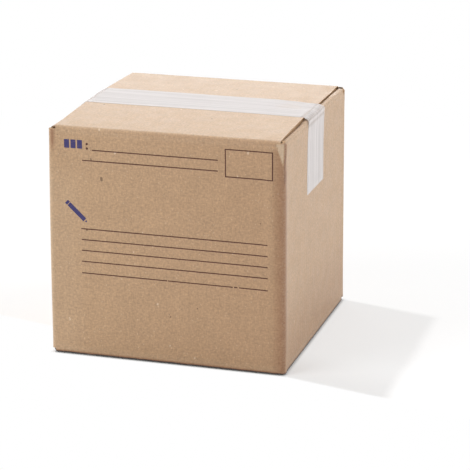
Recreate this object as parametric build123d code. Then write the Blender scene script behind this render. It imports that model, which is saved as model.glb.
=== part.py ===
from build123d import *
import os
from math import atan2, cos, floor, sin, tan

# A closed shipping box: one folded blank of corrugated board, a strip of tape over the
# top seam and down both sides, and a strip under the bottom seam.
# The front is at -Y, +Z is up and the origin is on the floor under the middle of the box.
# All sizes are in millimetres.

# Outside of the box
width = 190.0             # front panel, along X
depth = 190.0             # side panel, along Y
height = 184.0            # from the bottom flaps to the folds of the top flaps

# Board
board = 3.0               # whole thickness, two liners and the flutes between them
liner = 0.4               # each liner
flute_pitch = 6.5         # from one flute to the next
flute_wall = 0.5          # fluted sheet, measured along the edge
flute_crest = 0.8         # flat top of a flute
flute_open_depth = 5.0    # how far the open flutes are cut into an edge
edge_groove_depth = 2.4   # open channel along an edge that runs with the flutes

# Folds and flaps
fold_inside = 0.6         # inside radius of a fold between panel and flap
corner_inside = 0.3       # inside radius of an upright fold between two panels
fold_lead = 0.5           # straight board between a wall's end and the first fold
flap_clearance = 2.0      # between an inner flap and the panels beside it
slot_shift = 1.5          # top outer flaps off centre, the front one rightward, the rear leftward
flap_gap = 0.3            # between an outer flap and the inner flaps behind it
seam_gap = 2.0            # between the two outer flaps
inner_seam_gap = 3.0      # between the two inner flaps
seam_rise = 2.5           # how much higher the top flaps stand at the seam than at their folds

# Glued joint at the rear left corner
tab_width = 32.0
tab_slant = 10.0          # how much shorter the tab's free edge is at each end
joint_setback = 1.0       # from the left panel's face to the rear panel's cut edge

# Tape
tape_width = 50.0
tape_thickness = 0.2
tape_gap = 0.1            # between tape and board
tape_leg = 60.0           # top tape, down each side panel
bottom_tape_inset = 12.0  # from the side panels to the ends of the bottom tape

# What follows from these
slot_half = board + flap_clearance
fold_outside = board + fold_inside
corner_outside = board + corner_inside
inner_drop = board + flap_gap
wall_start = inner_drop + fold_outside + fold_lead
bottom_level = tape_thickness + tape_gap
top_level = bottom_level + height
seam_slope = atan2(seam_rise, (depth - board - seam_gap) / 2)


def flute_openings(span):
    """Sections of the open flutes in a cut edge, above and below the fluted sheet in turn."""
    side = board / 2 - liner
    foot = (flute_pitch - flute_crest) / 2 - flute_wall
    crest = flute_crest / 2
    count = floor(span / flute_pitch) - 1
    openings = []
    for number in range(-count, count + 1):
        opening = Polygon((foot, side), (-foot, side), (-crest, -side), (crest, -side), align=None)
        turned = Rot(0, 0, 180 * (number % 2)) * opening
        openings.append(Pos(number * flute_pitch / 2, 0) * turned)
    return openings


def flap(out, span, drop, free_edge, slope):
    """Flap of the front panel with its fold, seen from a height of 0 at the outermost fold.

    out is the distance from the middle of the box to the panel's face and span the flap's
    length along its fold. drop is how far its fold lies below the outermost one, free_edge
    the distance from the middle to its cut edge, and slope how much it leans upward.
    """
    hinge = (-out + board / 2, -drop - board / 2)
    tip = (-free_edge, hinge[1] + (out - board / 2 - free_edge) * tan(slope))
    path = FilletPolyline((hinge[0], -wall_start), hinge, tip, radius=fold_outside - board / 2)
    body = extrude(Plane.YZ * trace(path, board), span / 2, both=True)
    edge = Plane(origin=(0, *tip), x_dir=(1, 0, 0), z_dir=(0, cos(slope), sin(slope)))
    cuts = [extrude(edge * opening, -flute_open_depth) for opening in flute_openings(span)]
    groove = Rectangle(2 * edge_groove_depth, board - 2 * liner)
    groove_length = out - free_edge - fold_outside
    for end in (-span / 2, span / 2):
        cuts.append(extrude(edge * Pos(end, 0) * groove, -groove_length))
    return body - cuts


def wall_plan():
    """Plan of the rear, right, front and left panels, and of the tab glued to the rear one."""
    side = (width - board) / 2
    front = (depth - board) / 2
    fold = corner_outside - board / 2
    start = (joint_setback - width / 2, front)
    middle = (-side, 0)
    panels = FilletPolyline(
        start, (side, front), (side, -front), (-side, -front), middle, radius=fold
    )
    tab = FilletPolyline(
        middle, (-side, front - board), (tab_width - side, front - board), radius=fold
    )
    return trace(panels, board) + trace(tab, board)


def tab_end(level, inward):
    """What is cut off one end of the tab, so that it narrows towards its free edge."""
    fold = corner_outside - width / 2
    free = tab_width + (board - width) / 2
    outward = level - inward
    triangle = Polygon(
        (fold, level), (fold, outward), (free, outward), (free, level + inward), align=None
    )
    middle_of_tab = Plane.XZ.offset(1.5 * board - depth / 2)
    return extrude(middle_of_tab * triangle, board / 2, both=True)


def corner_squares(shift):
    """Plan of what stands between the slots and the folds at the four corners."""
    squares = Sketch()
    for right in (-1, 1):
        for rear in (-1, 1):
            along = 2 * (slot_half + right * rear * shift)
            squares += Pos(right * width / 2, rear * depth / 2) * Rectangle(along, 2 * slot_half)
    return squares


def walls():
    """The four panels and their tab, up to the slots that part the flaps at each corner."""
    plan = wall_plan()
    low = bottom_level + wall_start
    high = top_level - wall_start
    body = extrude(Pos(0, 0, low) * plan, high - low)
    channel = Box(2 * edge_groove_depth, board - 2 * liner, high - low)
    joint_edge = Pos(joint_setback - width / 2, (depth - board) / 2, (low + high) / 2)
    body -= [tab_end(low, tab_slant), tab_end(high, -tab_slant), joint_edge * channel]
    post_height = wall_start - inner_drop
    upper = extrude(Pos(0, 0, high) * (plan & corner_squares(slot_shift)), post_height)
    lower = extrude(Pos(0, 0, low) * (plan & corner_squares(0)), -post_height)
    return body + [upper, lower]


def make_carton():
    """The blank, folded and closed: inner flaps from the side panels, outer flaps over them."""
    outer = (depth / 2, width - 2 * slot_half, 0, seam_gap / 2)
    inner = (width / 2, depth - 2 * slot_half, inner_drop, inner_seam_gap / 2)
    inner_flap = flap(*inner, 0)
    upright = [Pos(slot_shift, 0, 0) * flap(*outer, seam_slope), inner_flap]
    hanging = [mirror(flap(*outer, 0), about=Plane.XY), mirror(inner_flap, about=Plane.XY)]
    flaps = []
    for quarter in range(4):
        turn = Rot(0, 0, 90 * quarter)
        flaps.append(Pos(0, 0, top_level) * turn * upright[quarter % 2])
        flaps.append(Pos(0, 0, bottom_level) * turn * hanging[quarter % 2])
    return walls() + flaps


def make_top_tape():
    """Tape over the ridge of the top seam, round the flaps' ends and down both side panels."""
    middle = tape_gap + tape_thickness / 2
    face = width / 2 + middle
    ridge = top_level + (depth - board) / 2 * tan(seam_slope) + middle
    end = top_level - tape_leg
    below = end - tape_width * sin(seam_slope)
    bend = slot_half - slot_shift
    path = FilletPolyline(
        (-face, below), (-face, ridge), (face, ridge), (face, below), radius=bend
    )
    profile = Plane.XZ * trace(path, tape_thickness)
    half = tape_width / 2 / cos(seam_slope)
    front = extrude(profile, half, dir=(0, -cos(seam_slope), -sin(seam_slope)))
    rear = extrude(profile, half, dir=(0, cos(seam_slope), -sin(seam_slope)))
    trim = Box(2 * width, 2 * tape_width, 2 * tape_width)
    return front + rear - Pos(0, 0, end - tape_width) * trim


def make_bottom_tape():
    """Flat tape under the bottom seam, short of the side panels."""
    strip = Box(width - 2 * bottom_tape_inset, tape_width, tape_thickness)
    return Pos(0, 0, tape_thickness / 2) * strip


def write(name, solid, colour):
    """Writes one piece to its own file."""
    solid.label = name
    solid.color = Color(*colour)
    export_step(solid, f"parts/{name}.step")
    print(name, len(solid.solids()), round(solid.volume / 1000, 2), "cm3", solid.is_valid)


kraft = (0.72, 0.56, 0.41)
film = (0.88, 0.85, 0.82)
os.makedirs("parts", exist_ok=True)
write("carton", make_carton(), kraft)
write("top_tape", make_top_tape(), film)
write("bottom_tape", make_bottom_tape(), film)
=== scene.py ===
import math

import bpy
import numpy as np
from bpy.props import FloatProperty, FloatVectorProperty, PointerProperty
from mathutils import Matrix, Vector


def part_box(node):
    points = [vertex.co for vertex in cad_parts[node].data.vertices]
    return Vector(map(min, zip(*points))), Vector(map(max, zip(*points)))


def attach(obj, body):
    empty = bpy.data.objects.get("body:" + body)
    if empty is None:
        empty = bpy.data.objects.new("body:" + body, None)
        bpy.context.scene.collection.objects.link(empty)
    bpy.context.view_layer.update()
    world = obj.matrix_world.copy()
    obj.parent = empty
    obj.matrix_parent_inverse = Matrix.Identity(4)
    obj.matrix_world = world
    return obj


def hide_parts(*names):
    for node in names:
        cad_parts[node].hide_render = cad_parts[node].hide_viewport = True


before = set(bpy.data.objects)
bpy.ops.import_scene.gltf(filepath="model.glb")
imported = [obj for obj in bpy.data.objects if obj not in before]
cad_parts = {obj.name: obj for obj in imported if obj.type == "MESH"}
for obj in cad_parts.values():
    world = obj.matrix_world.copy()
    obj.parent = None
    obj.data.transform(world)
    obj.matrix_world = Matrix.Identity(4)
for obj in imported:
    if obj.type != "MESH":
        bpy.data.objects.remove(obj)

bl_info = {
    "name": "Shipping box looks",
    "version": (1, 0, 0),
    "blender": (4, 5, 0),
    "location": "3D View > Sidebar > Shipping box",
    "description": "Dresses a closed shipping box in corrugated board, film tape and print",
    "category": "Object",
}

# Lengths are in metres, unless a comment says millimetres. The front is at -Y, +Z is up and the
# floor is at 0.
MM = 0.001

carton_low, carton_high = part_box("carton")
tape_low, tape_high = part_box("top_tape")
strip_low, strip_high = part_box("bottom_tape")
HALF_WIDTH = carton_high.x
HALF_DEPTH = carton_high.y
BOTTOM = carton_low.z

# Material slots of the carton's mesh
LINER = 0
CUT = 1

# How strongly the stations of a straight run crowd towards its ends, from 0 to 1
CROWDING = 0.72

# Edges that turn by more than this are shaded sharp
SHARP_ANGLE = math.radians(38)


def length_of(name, millimetres, description):
    """Property for a length, given in millimetres."""
    return FloatProperty(
        name=name, description=description, default=millimetres * MM, unit="LENGTH", precision=4
    )


def share_of(name, default, description):
    """Property for a share from 0 to 1."""
    return FloatProperty(
        name=name, description=description, default=default, min=0, max=1, subtype="FACTOR"
    )


def colour_of(name, default, description):
    """Property for a colour, in linear red, green and blue."""
    return FloatVectorProperty(
        name=name, description=description, default=default, min=0, max=1, size=3, subtype="COLOR"
    )


class CartonSettings(bpy.types.PropertyGroup):
    """Sizes of the folded blank, how it has settled, and its papers."""

    board: length_of("Board", 3.0, "Whole thickness of the board")
    liner: length_of("Liner", 0.4, "Each of the two flat papers")
    flute_pitch: length_of("Flute pitch", 6.5, "From one flute to the next")
    flute_paper: length_of("Flute paper", 0.35, "The paper between the liners")
    flute_recess: length_of("Flute recess", 5.0, "How deep the open flutes show in a cut edge")
    edge_recess: length_of("Edge recess", 0.7, "Groove in an edge cut along the flutes")
    fold_radius: length_of("Fold radius", 3.6, "Outside of a fold between panel and flap")
    top_fold_radius: length_of("Top fold radius", 2.4, "The same at the outer top flaps, pressed sharp")
    low_fold_radius: length_of("Low fold radius", 1.8, "The same at the outer bottom flaps")
    corner_radius: length_of("Corner radius", 3.3, "Outside of a fold between two panels")
    fold_lead: length_of("Fold lead", 0.5, "Straight board between wall and first fold")
    flap_gap: length_of("Flap gap", 0.3, "Between an outer and an inner flap")
    slot_half: length_of("Slot half", 5.0, "From a corner to the flap beside it")
    slot_shift: length_of("Slot shift", 1.5, "Top outer flaps off centre, front one rightward")
    low_slot_half: length_of("Low slot half", 3.0, "From a corner to an outer bottom flap")
    low_slot_shift: length_of("Low slot shift", 0.5, "Bottom outer flaps off centre")
    flap_skew: length_of("Flap skew", 1.25, "Outer top flaps drawn back to the middle at the seam")
    seam_gap: length_of("Seam gap", 2.0, "Between the outer flaps")
    inner_seam_gap: length_of("Inner seam gap", 3.0, "Between the inner flaps")
    seam_rise: length_of("Seam rise", 2.5, "Height of the top seam over the folds")
    tab_width: length_of("Tab width", 32.0, "Glued tab behind the rear panel")
    joint_setback: length_of("Joint setback", 1.0, "From the left panel to the rear panel's edge")
    wall_inset: length_of("Wall inset", 0.1, "Wall face behind the box's outermost plane")
    crown_width: length_of("Crown width", 12.0, "From a side panel to the inner flap's flat part")
    panel_bow: length_of("Panel bow", 1.1, "How far a panel's middle has gone in")
    side_lean: length_of("Side lean", 1.25, "How far a side panel's top leans in")
    left_swell: length_of("Left swell", 0.6, "Swelling of the left corners at half their height")
    corner_ridge: length_of("Corner ridge", 0.7, "Swelling beside the front right corner")
    corner_give: length_of("Corner give", 2.0, "How far the front right corner is pressed in")
    corner_roll: length_of("Corner roll", 10.8, "Width of the pressed strip on the front panel")
    crush_depth: length_of("Crush depth", 4.5, "Crushed facet at the front right corner's top")
    paper: colour_of("Paper", (0.458, 0.294, 0.167), "Brown liner")
    # Pale fibre: the colour of pale flecks and worn folds, and also of the painted highlights and the
    # painted sheen on the top
    pale_fibre_and_highlight: colour_of("Pale fibre and highlight", (0.72, 0.58, 0.43), "Bleached fibres in the liner, and the painted highlights")
    dark_speck: colour_of("Dark speck", (0.10, 0.055, 0.03), "Specks of bark and ink in the liner")
    # Painted shade: the colour that darkens the paper wherever shade is painted into it
    painted_shade_colour: colour_of("Painted shade", (0.17, 0.035, 0.0), "Paper darkened where shade is painted")
    # Painted shadow: near black, for the contact shadow where the folds meet the floor and for the
    # shadow in the rear right slot
    painted_shadow_colour: colour_of("Painted shadow", (0.035, 0.028, 0.024), "Painted contact shadow at the floor, and shadow in the rear right slot")
    cut_paper: colour_of("Cut paper", (0.42, 0.27, 0.155), "Cut edges and flutes")


class PrintSettings(bpy.types.PropertyGroup):
    """The print on the front panel."""

    proud: length_of("Proud", 0.05, "Ink over the paper")
    line_width: length_of("Line width", 0.85, "Ruled lines and frame")
    line_ink: colour_of("Line ink", (0.06, 0.008, 0.002), "Ink of the lines")
    figure_ink: colour_of("Figure ink", (0.028, 0.022, 0.12), "Ink of the blocks and the pencil")


class TapeSettings(bpy.types.PropertyGroup):
    """The film tape over the top seam and under the bottom one."""

    thickness: length_of("Thickness", 0.12, "Film and its glue")
    gap: length_of("Gap", 0.05, "Between film and board")
    milk: colour_of("Milk", (0.80, 0.765, 0.76), "Colour of the film")
    cover: share_of("Cover", 0.62, "How much of the board one skin of the film hides")


class StageSettings(bpy.types.PropertyGroup):
    """Floor, light and camera."""

    floor_size: length_of("Floor size", 9000.0, "Side of the floor")
    floor_colour: colour_of("Floor colour", (0.88, 0.88, 0.88), "Plain pale floor")
    # Painted light: plain white laid over the floor's shadows for the camera
    floor_painted_light: share_of("Floor painted light", 0.58, "How much plain white lies over the floor's shadows")
    room_light: FloatProperty(name="Room light", description="Even light of the room", default=0.46)
    sun_light: FloatProperty(name="Sun light", description="Light that throws the shadow", default=1.2)
    lens: FloatProperty(name="Lens", description="Focal length", default=160.98, unit="CAMERA")


def crowded(cells):
    """Shares from 0 to 1 that part a run into cells, smaller towards both ends.

    They are t - c sin(2 pi t) / 2 pi for t in equal steps, where c is the crowding.
    """
    t = np.linspace(0, 1, cells + 1)
    return t - CROWDING * np.sin(2 * np.pi * t) / (2 * np.pi)


def rounded_line(corners, radii, cells, arc_steps):
    """Stations along a line through the corners, each inner corner rounded to an arc.

    A straight run has them at its length times the crowded shares, and cells has how many cells
    each run gets. On an arc they are its centre plus its radius, turned by equal angles. A corner
    with no turn gets no arc.
    Returns the points, the directions there and the distances from the start.
    """
    corners = np.array(corners, float)
    runs = np.diff(corners, axis=0)
    spans = np.linalg.norm(runs, axis=1)
    heads = runs / spans[:, None]
    before, after = heads[:-1], heads[1:]
    crossed = before[:, 0] * after[:, 1] - before[:, 1] * after[:, 0]
    turns = np.arctan2(crossed, (before * after).sum(1))
    trims = np.concatenate([[0], np.array(radii) * np.tan(np.abs(turns) / 2), [0]])
    points, directions = [], []
    for number, head in enumerate(heads):
        start = corners[number] + head * trims[number]
        length = spans[number] - trims[number] - trims[number + 1]
        along = length * crowded(cells[number])
        if number and not turns[number - 1]:
            along = along[1:]
        points.append(start + along[:, None] * head)
        directions.append(np.tile(head, (len(along), 1)))
        if number < len(turns) and turns[number]:
            angle = turns[number] * np.linspace(0, 1, arc_steps + 1)[1:-1, None]
            left = np.array([-head[1], head[0]])
            radius = radii[number] * np.sign(turns[number])
            direction = np.cos(angle) * head + np.sin(angle) * left
            outward = np.stack([direction[:, 1], -direction[:, 0]], 1)
            points.append(start + length * head + radius * left + radius * outward)
            directions.append(direction)
    points = np.concatenate(points)
    steps = np.linalg.norm(np.diff(points, axis=0), axis=1)
    return points, np.concatenate(directions), np.concatenate([[0], np.cumsum(steps)])


def stretch_of(line, start, end):
    """The part of a line of stations between two distances from its start."""
    points, directions, distances = line
    clear = 0.01 * MM
    inside = distances[(distances > start + clear) & (distances < end - clear)]
    kept = np.concatenate([[start], inside, [end]])
    columns = [np.interp(kept, distances, column) for column in (*points.T, *directions.T)]
    return np.stack(columns[:2], 1), np.stack(columns[2:], 1), kept


def ragged(count, size, seed):
    """Smooth random values around 0: seeded steps, averaged over three neighbours, times size."""
    steps = np.random.default_rng(seed).uniform(-1, 1, count + 2)
    return size * (steps[:-2] + steps[1:-1] + steps[2:]) / 3


def bell(distance, reach):
    """1 at a distance of 0 and falling off as exp(-(distance / reach)^2)."""
    return np.exp(-((distance / reach) ** 2))


def ease(value, start, full):
    """0 up to start and 1 from full on, with t^2 (3 - 2t) between them. Start may be the higher."""
    t = np.clip((value - start) / (full - start), 0, 1)
    return t * t * (3 - 2 * t)


def ramp(distance, span):
    """Ease of a distance between a span's two ends, which are in millimetres."""
    return ease(distance / MM, *span)


def joined(x, y, z):
    """Grid of points from grids, rows or single values of x, y and z."""
    return np.stack(np.broadcast_arrays(x, y, z), -1)


def shell(layers, flat, wear, rim_slot):
    """Closed solid from a stack of grids: the first is its outer face, the last its inner one.

    Rows run to the right and columns upward, seen from outside. The grids between them give only
    their outlines, and bands of quads join each outline to the next one.
    """
    rows, columns = layers[0].shape[:2]
    index = np.arange(rows * columns).reshape(rows, columns)
    loop = np.concatenate([index[:-1, 0], index[-1, :-1], index[:0:-1, -1], index[0, :0:-1]])
    grids = [np.asarray(layer).reshape(-1, 3) for layer in layers]
    stack = [grids[0]] + [grid[loop] for grid in grids[1:-1]] + [grids[-1]]
    picks = [np.arange(len(grids[0]))] + [loop] * (len(grids) - 2) + [np.arange(len(grids[0]))]
    starts = np.cumsum([0] + [len(points) for points in stack])
    rings = [loop]
    rings += [start + np.arange(len(loop)) for start in starts[1:-2]]
    rings += [starts[-2] + loop]
    outer = np.stack([index[:-1, :-1], index[1:, :-1], index[1:, 1:], index[:-1, 1:]], -1)
    outer = outer.reshape(-1, 4)
    faces = [outer, outer[:, ::-1] + starts[-2]]
    for near, far in zip(rings[:-1], rings[1:]):
        faces.append(np.stack([near, far, np.roll(far, -1), np.roll(near, -1)], -1))
    slots = np.full(sum(map(len, faces)), rim_slot)
    slots[: 2 * len(outer)] = LINER
    picked = np.concatenate(picks)
    return {
        "points": np.concatenate(stack),
        "faces": np.concatenate(faces),
        "slots": slots,
        "flat": flat.reshape(-1, 2)[picked],
        "wear": wear.reshape(-1)[picked],
    }


def make_piece(name, shells, materials):
    """One object from closed shells, with their flat places as its UV map, their wear and their painted
    light and shade.
    """
    points, slots, flat, wear = (
        np.concatenate([one[key] for one in shells]) for key in ("points", "slots", "flat", "wear")
    )
    starts = np.cumsum([0] + [len(one["points"]) for one in shells[:-1]])
    faces = np.concatenate([one["faces"] + start for one, start in zip(shells, starts)])
    mesh = bpy.data.meshes.new(name)
    mesh.from_pydata(points, [], faces.tolist())
    mesh.polygons.foreach_set("material_index", slots.astype(np.int32))
    uv_map = mesh.uv_layers.new(name="Flat")
    uv_map.data.foreach_set("uv", flat[faces].astype(np.float32).ravel())
    for label, values in (("fold_wear", wear), ("painted_shading", painted_light_and_shade(points))):
        attribute = mesh.attributes.new(label, "FLOAT", "POINT")
        attribute.data.foreach_set("value", values.astype(np.float32))
    mesh.shade_smooth()
    mesh.set_sharp_from_angle(angle=SHARP_ANGLE)
    if mesh.validate():
        raise RuntimeError(f"{name} has faces that are not valid")
    for material in materials:
        mesh.materials.append(material)
    piece = bpy.data.objects.new(name, mesh)
    bpy.context.scene.collection.objects.link(piece)
    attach(piece, "root")
    return piece


# The painted shade line beside the front panel's left edge: its middle and its reach, in millimetres
LEFT_LINE = (3.6, 1.9)
# How quickly the marks change over at the crushed facet's border
FACET_SHARPNESS = 20
# The painted shade on the front panel, darker towards the right: how strong it is, what it is
# multiplied by at the middle and how much that grows to the right, and how deep behind the front face
# it reaches
FRONT_SHADE, SHADE_MIDDLE, SHADE_GROWTH, SHADE_DEPTH = 0.17, 0.4, 0.6, 3.2 * MM
# How strong the painted sheen on the top is, and how far back it reaches
TOP_SHEEN, TOP_SHEEN_END = 0.12, 90.2 * MM


def painted_marks_of(carton):
    """The painted light and shade on the paper, with masks that shape it: how strong each is, and where
    along some distances it lies.

    Each distance has the millimetres at which the mark begins and those at which it is full. It
    is inward from the face of the panel named, down from the top folds or up from the lowest ones.
    """
    roll = carton.corner_roll / MM
    front = [("front", 9, 7), ("right", 0.1, 0.5)]
    crease = front + [("right", 2.2, 1.3)]
    return {
        "front": (1, front),
        # Painted shade: the strip beside the front right corner, darker towards the corner, and a dark
        # line in the corner's crease
        "strip": (0.27, front + [("right", roll, roll - 2.5), ("down", 2, 7)]),
        "strip towards corner": (0.34, front + [("right", roll - 1, 0), ("down", 2, 7)]),
        "crease": (1, crease),
        "crease shade": (0.75, crease + [("down", 60, 25), ("down", 0, 2.5)]),
        # Painted shade in a line beside the front left edge
        "left line": (0.6, front + [("down", 24, 12)]),
        # Painted shade low on the right panel, darker towards the floor
        "low right shade": (0.2, [("right", 7, 5), ("up", 74.7, 4.7)]),
        # Painted shadow in the slot at the rear right corner's stub, weaker close to the right face
        "rear stub": (1, [("right", 7, 5), ("rear", 4.8, 4), ("rear", 0.2, 0.7), ("down", 3.5, 2.5)]),
        "rear stub's fading": (0.6, [("right", 3.5, 1.5)]),
        # Painted contact shadow where the board meets the floor
        "floor": (1, [("up", 3, 1)]),
        # Painted highlight on the crushed facet at the front right corner's top
        "facet highlight": (0.5, [("down", 1, 3)]),
        # Painted highlight on the front panel's left edge, and painted light fading from it to the
        # right
        "left edge highlight": (0.2, front + [("left", 8, 0), ("down", 25, 50)]),
        "light beside left edge": (0.08, front + [("left", 34, 12), ("down", 25, 50)]),
        # Painted sheen on the top
        "top sheen": (TOP_SHEEN, [("down", 0.8, 0.2)]),
    }


def painted_light_and_shade(points):
    """How much painted light and shade the paper has, from -1, a full painted highlight, to 1, a black
    painted shadow.

    A mark is its strength times an ease along each of its distances. Painted shade lies on the strip
    and in the crease at the front right, in a line beside the front left edge, on the front panel
    darker towards the right, low on the right panel, in the slot at the rear right corner's stub, and
    as a contact shadow where the board meets the floor. Painted highlight lies on the crushed facet
    outside the crease and on and beside the front panel's left edge, and painted sheen on the top.
    Of each kind the strongest mark counts, and the highlight is taken from the shade.
    """
    carton = bpy.context.scene.box_carton
    top = levels_of(carton)[0]
    y, z = points[..., 1], points[..., 2]
    x = points[..., 0] / leaning(carton, z, top)
    distances = {
        "left": HALF_WIDTH + x, "right": HALF_WIDTH - x, "front": HALF_DEPTH + y,
        "rear": HALF_DEPTH - y, "down": top - z, "up": z - BOTTOM,
    }
    painted_marks = {}
    for name, (strength, spans) in painted_marks_of(carton).items():
        eases = [ramp(distances[side], span) for side, *span in spans]
        painted_marks[name] = strength * math.prod(eases)
    crushed = painted_marks["front"] * np.clip(FACET_SHARPNESS * crushed_facet(x, z, top), 0, 1)
    facet = crushed * (1 - painted_marks["crease"])
    shade = FRONT_SHADE * (SHADE_MIDDLE + SHADE_GROWTH * x / HALF_WIDTH)
    line_middle, line_reach = LEFT_LINE
    # Painted shade: the strongest of the shade marks
    painted_shading = np.maximum.reduce([
        (painted_marks["strip"] + painted_marks["strip towards corner"]) * (1 - crushed),
        painted_marks["crease shade"],
        painted_marks["left line"] * bell(distances["left"] / MM - line_middle, line_reach),
        shade * (y < SHADE_DEPTH - HALF_DEPTH),
        painted_marks["low right shade"],
        painted_marks["rear stub"] * (1 - painted_marks["rear stub's fading"]),
        painted_marks["floor"],
    ])
    # Painted highlight and painted sheen: the strongest of the light marks
    painted_highlight = np.maximum.reduce([
        painted_marks["facet highlight"] * facet,
        np.maximum(painted_marks["left edge highlight"], painted_marks["light beside left edge"]) * (1 - painted_marks["floor"]),
        painted_marks["top sheen"] * (y < TOP_SHEEN_END),
    ])
    return painted_shading * (1 - facet) - painted_highlight


def levels_of(carton):
    """Heights of the top folds and of the two ends of the walls, and the inner folds' drop."""
    top = carton_high.z - carton.seam_rise
    drop = carton.board + carton.flap_gap
    lead = drop + carton.fold_radius + carton.fold_lead
    return top, drop, BOTTOM + lead, top - lead


# How an outer top flap rises: the power of its curve, what the power gains at the right end, how
# many millimetres the tape pulls that end down, and between which shares of the way to the seam
FRONT_LIFT = (2.2, 0.8, 0.5, (0.1, 0.6))
REAR_LIFT = (1.7, 1.1, 1.5, (0.02, 0.3))
# The flaps' right end, in millimetres from the corner
RIGHT_END = (45, 5)
# The flaps' slow wave: its height in millimetres, and half the angle that it goes through
WAVE_HEIGHT = 0.25
WAVE_ANGLE = 2.4


def outer_lift(carton, x, inset, rear):
    """How much an outer top flap stands over its fold at x, at a distance inset from the fold.

    With t going from 0 at the fold to 1 at the seam, the rise is the seam's times 1 - (1 - t)^p.
    Towards the right end p grows, so that the flap springs up sooner. There the tape pulls the
    flaps down, the rear one more than the front one. Each flap has a slow wave, a squared sine
    along it times a sine from fold to seam.
    """
    power, gain, pull, pulled = REAR_LIFT if rear else FRONT_LIFT
    t = np.clip(inset / (HALF_DEPTH - carton.seam_gap / 2), 0, 1)
    end = ramp(HALF_WIDTH - x, RIGHT_END)
    rise = carton.seam_rise * (1 - (1 - t) ** (power + gain * end))
    wave = WAVE_HEIGHT * MM * np.sin(x / HALF_WIDTH * WAVE_ANGLE + rear) ** 2 * np.sin(np.pi * t)
    return rise - wave - pull * MM * end * ease(t, *pulled)


def roof(carton, x, y):
    """Height of the outer top flaps' upper faces at x and y, seam gap bridged."""
    top = levels_of(carton)[0]
    front = outer_lift(carton, x, HALF_DEPTH + y, False)
    rear = outer_lift(carton, x, HALF_DEPTH - y, True)
    return top + np.where(y < 0, front, rear)


# The crushed facet's slanting border, in millimetres: its lower and its upper end below the top
# folds, how far from the corner it is at each, and how far past it the facet is full
FACET_ENDS = (22, 4)
FACET_BORDER = (1.5, 6.7)
FACET_REACH = 6


def crushed_facet(x, z, top):
    """How far a point is past the slanting border of the facet at the front right corner's top.

    It goes from 0 at the border to 1 at the facet's reach, times the height within the facet.
    """
    lower, upper = FACET_ENDS
    height = np.clip((lower - (top - z) / MM) / (lower - upper), 0, 1)
    border = np.interp(height, (0, 1), FACET_BORDER)
    return np.clip((border - (HALF_WIDTH - x) / MM) / FACET_REACH, 0, 1) * height


def leaning(carton, z, top):
    """What x is multiplied by at a height: 1 at the bottom, and less in proportion to the height.

    From just over the top folds on it stays the same.
    """
    return 1 - carton.side_lean / HALF_WIDTH * np.clip((z - BOTTOM) / (top - BOTTOM), 0, 1.02)


# Where each change in the board begins and where it is full, in millimetres: inward from the
# front or left panel's face, down from the top folds, or up from the lowest ones
NEAR_FRONT = (20, 5)
NEAR_LEFT = (12, 0)
BELOW_TOP_FOLD = (2, 12)
ABOVE_FLOOR = (-2, 24)
RIDGE_GROWS = (130, 60)
FACET_STARTS = (1, 3.5)
# What the ridge and the pressed strip keep where they are weakest, and the ridge's reach
RIDGE_LEAST = 0.4
PRESS_LEAST = 0.35
RIDGE_REACH = 5 * MM


def settle(carton, points):
    """Where the points of a sharp box go once its board has settled.

    With u, v and w from -1 to 1 across the width, depth and height, a wall goes in by the bow
    times (1 - u^8)(1 - w^6), times v^8 so that it dies out away from the wall. Beside the front
    right corner the front panel first swells out in a bell, and then slants in to the corner in
    a flat strip, as t (t + 0.12) / (t + 0.24) across it. At the strip's top a facet with a
    slanting left border is crushed in further. The left corners swell by (1 - w^2)(1 - w^6).
    The side panels lean in: x is narrowed in proportion to the height.
    """
    x, y, z = points[..., 0], points[..., 1], points[..., 2]
    top = levels_of(carton)[0]
    u, v, w = x / HALF_WIDTH, y / HALF_DEPTH, 2 * (z - BOTTOM) / (top - BOTTOM) - 1
    belly = 1 - np.clip(w, -1, 1) ** 6
    inset = carton.wall_inset * np.clip(1 - w**12, 0, 1)
    side_bow = (carton.panel_bow * (1 - v**8) * belly + inset) * u**8
    front_bow = (carton.panel_bow * (1 - u**8) * belly + inset) * v**8
    above_floor = ramp(z - BOTTOM, ABOVE_FLOOR)
    ridge_place = HALF_WIDTH - carton.corner_roll
    growth = RIDGE_LEAST + (1 - RIDGE_LEAST) * ramp(top - z, RIDGE_GROWS)
    ridge = carton.corner_ridge * bell(x - ridge_place, RIDGE_REACH) * growth * belly * above_floor
    t = np.clip((x - ridge_place) / carton.corner_roll, 0, 1)
    slant = t * (t + 0.12) / (t + 0.24)
    strength = PRESS_LEAST + (1 - PRESS_LEAST) * above_floor
    press = carton.corner_give * slant * ramp(top - z, BELOW_TOP_FOLD) * strength
    crush = carton.crush_depth * crushed_facet(x, z, top) * ramp(top - z, FACET_STARTS)
    swell = carton.left_swell * ramp(HALF_WIDTH + x, NEAR_LEFT) * belly * (1 - w * w)
    moved_in = ramp(HALF_DEPTH + y, NEAR_FRONT) * (press + crush - ridge)
    new_x = (x - np.sign(x) * side_bow) * leaning(carton, z, top) - swell
    return joined(new_x, y - np.sign(y) * front_bow + moved_in, z)


# Cells of the walls' plan, from the tab round to the rear panel, steps of an upright fold, and
# cells up a wall and up a stub
PLAN_CELLS, PLAN_ARC = [10, 56, 84, 56, 56], 8
WALL_CELLS, STUB_CELLS = 51, 7


def plan_line(carton):
    """The outside of the walls from the tab's free edge round to the rear panel's cut edge."""
    tab_face = HALF_DEPTH - carton.board
    corners = [
        (carton.tab_width - HALF_WIDTH, tab_face),
        (-HALF_WIDTH, tab_face),
        (-HALF_WIDTH, -HALF_DEPTH),
        (HALF_WIDTH, -HALF_DEPTH),
        (HALF_WIDTH, HALF_DEPTH),
        (carton.joint_setback - HALF_WIDTH, HALF_DEPTH),
    ]
    return rounded_line(corners, [carton.corner_radius] * 4, PLAN_CELLS, PLAN_ARC)


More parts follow.
